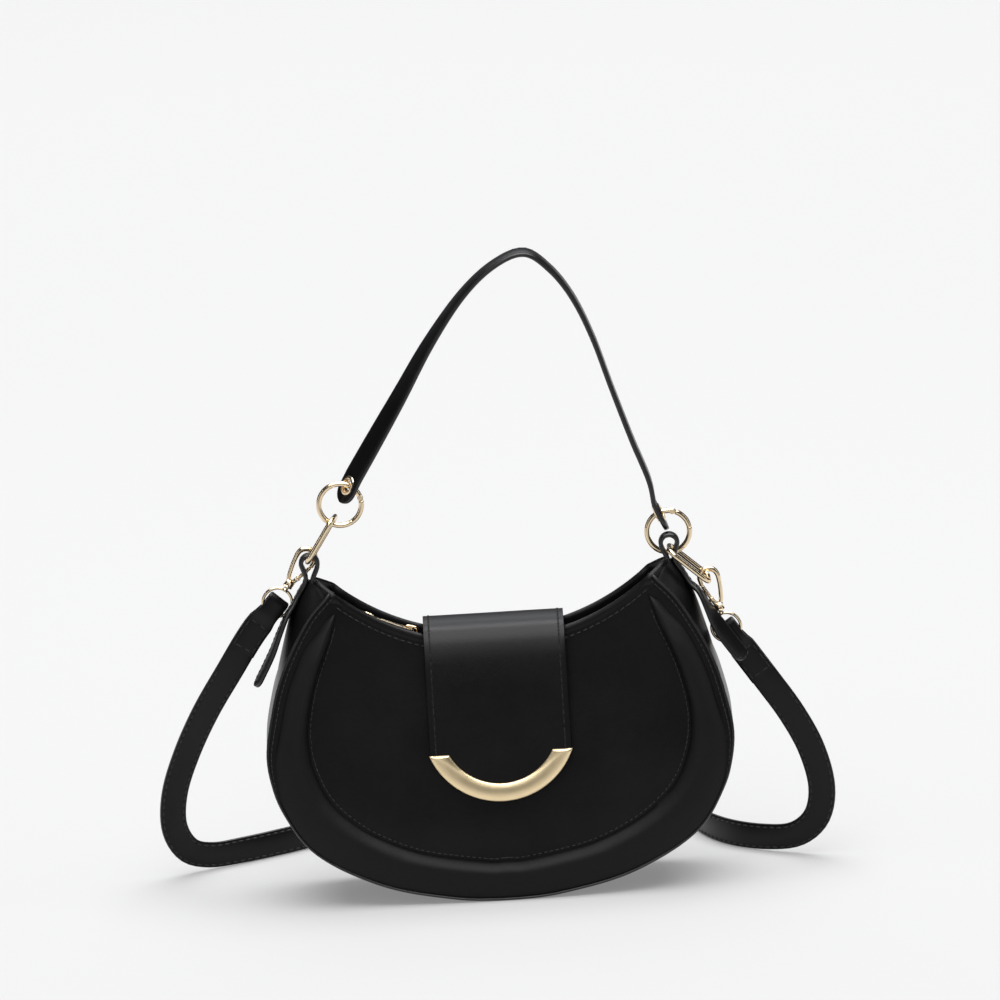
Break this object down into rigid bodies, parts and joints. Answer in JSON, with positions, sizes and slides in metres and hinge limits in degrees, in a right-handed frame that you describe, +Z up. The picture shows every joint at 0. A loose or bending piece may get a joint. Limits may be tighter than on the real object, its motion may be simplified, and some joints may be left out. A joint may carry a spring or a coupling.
{
  "type": "crossbody_bag",
  "caption": "Half-moon crossbody bag in black smooth leather with a top handle, a flap with a gold arc bar, pale gold links and snap hooks, and a long shoulder strap.",
  "frame": {"origin": "on the floor under the middle of the bag", "axes": "+X to the right as the flap is seen, +Y to the back, +Z up"},
  "size_m": [0.3576, 0.2707, 0.3499],
  "materials": {
    "leather": "smooth satin, near black",
    "lining_cloth": "woven, matte black",
    "black_teeth": "moulded, black",
    "pale_gold": "polished, pale champagne gold",
    "brushed_gold": "finely brushed, pale champagne gold"
  },
  "bodies": {
    "shell": {"front_panel": "leather", "front_border": "leather", "back_panel": "leather", "gusset": "leather", "front_rim": "leather", "back_rim": "leather", "lining": "lining_cloth", "zip_tape_front": "lining_cloth", "zip_tape_back": "lining_cloth", "zip_teeth_front": "black_teeth", "zip_teeth_back": "black_teeth", "zip_stop_left": "pale_gold", "zip_stop_right": "pale_gold", "flap_base": "leather", "snap_socket": "pale_gold", "tab_left": "leather", "tab_right": "leather", "eye_left": "pale_gold", "eye_right": "pale_gold", "strap": "leather"},
    "flap": {"flap_leather": "leather", "flap_lining": "leather", "arc_bar": "brushed_gold", "snap_stud": "pale_gold"},
    "slider": {"zip_slider": "pale_gold"},
    "puller": {"zip_puller": "pale_gold"},
    "handle_strip": {"handle": "leather", "eyelet_left": "pale_gold", "eyelet_right": "pale_gold"},
    "ring_left": {"oring_left": "pale_gold", "oring_pin_left": "pale_gold"},
    "ring_right": {"oring_right": "pale_gold", "oring_pin_right": "pale_gold"},
    "ring_gate_left": {"oring_gate_left": "pale_gold"},
    "ring_gate_right": {"oring_gate_right": "pale_gold"},
    "long_link_left": {"link_left": "pale_gold"},
    "long_link_right": {"link_right": "pale_gold"},
    "snap_hook_left": {"hook_left": "pale_gold", "hook_pin_left": "pale_gold"},
    "snap_hook_right": {"hook_right": "pale_gold", "hook_pin_right": "pale_gold"},
    "snap_gate_left": {"hook_gate_left": "pale_gold"},
    "snap_gate_right": {"hook_gate_right": "pale_gold"}
  },
  "joints": [
    {"name": "flap_hinge", "type": "hinge", "parent": "shell", "child": "flap", "pos_m": [0, 0.0173, 0.1389], "axis": [-1, 0, 0], "range_deg": [0, 150]},
    {"name": "zip_travel", "type": "hinge", "parent": "shell", "child": "slider", "pos_m": [0, 0, 0.3015], "axis": [0, -1, 0], "range_deg": [-4, 43]},
    {"name": "puller_flip", "type": "hinge", "parent": "slider", "child": "puller", "pos_m": [-0.04382, 0, 0.14419], "axis": [0, 1, 0], "range_deg": [0, 95]},
    {"name": "handle_swing", "type": "hinge", "parent": "shell", "child": "handle_strip", "pos_m": [-0.0842, 0, 0.20615], "axis": [0.9878, 0.0294, -0.1531], "range_deg": [-27, 5]},
    {"name": "ring_turn_left", "type": "hinge", "parent": "handle_strip", "child": "ring_left", "pos_m": [-0.0788, 0, 0.2163], "axis": [0, 1, 0], "range_deg": [-15, 15]},
    {"name": "ring_turn_right", "type": "hinge", "parent": "handle_strip", "child": "ring_right", "pos_m": [0.0974, 0.0054, 0.1895], "axis": [0, 1, 0], "range_deg": [-10, 10]},
    {"name": "ring_gate_turn_left", "type": "hinge", "parent": "ring_left", "child": "ring_gate_left", "pos_m": [-0.0677, 0, 0.2195], "axis": [0, 1, 0], "range_deg": [0, 20], "stiffness_Nm_per_rad": 0.03, "springref_deg": -17.19},
    {"name": "ring_gate_turn_right", "type": "hinge", "parent": "ring_right", "child": "ring_gate_right", "pos_m": [0.1002, 0.0054, 0.2007], "axis": [0, 1, 0], "range_deg": [0, 20], "stiffness_Nm_per_rad": 0.03, "springref_deg": -17.19},
    {"name": "link_swing_left", "type": "hinge", "parent": "shell", "child": "long_link_left", "pos_m": [-0.0974, 0, 0.1863], "axis": [0, 1, 0], "range_deg": [-3, 3]},
    {"name": "link_swing_right", "type": "hinge", "parent": "shell", "child": "long_link_right", "pos_m": [0.0974, 0, 0.1814], "axis": [0, 1, 0], "range_deg": [-3, 3]},
    {"name": "hook_swivel_left", "type": "hinge", "parent": "shell", "child": "snap_hook_left", "pos_m": [-0.1159, 0.0054, 0.1629], "axis": [0.5807, 0, 0.8141], "range_deg": [-3, 3]},
    {"name": "hook_swivel_right", "type": "hinge", "parent": "shell", "child": "snap_hook_right", "pos_m": [0.1258, 0.0052, 0.1346], "axis": [-0.2756, 0, 0.9613], "range_deg": [-10, 10]},
    {"name": "hook_gate_turn_left", "type": "hinge", "parent": "snap_hook_left", "child": "snap_gate_left", "pos_m": [-0.104, 0.0054, 0.1755], "axis": [0, -1, 0], "range_deg": [0, 25], "stiffness_Nm_per_rad": 0.02, "springref_deg": -17.19},
    {"name": "hook_gate_turn_right", "type": "hinge", "parent": "snap_hook_right", "child": "snap_gate_right", "pos_m": [0.1188, 0.0052, 0.1505], "axis": [0, 1, 0], "range_deg": [0, 25], "stiffness_Nm_per_rad": 0.02, "springref_deg": -17.19}
  ]
}
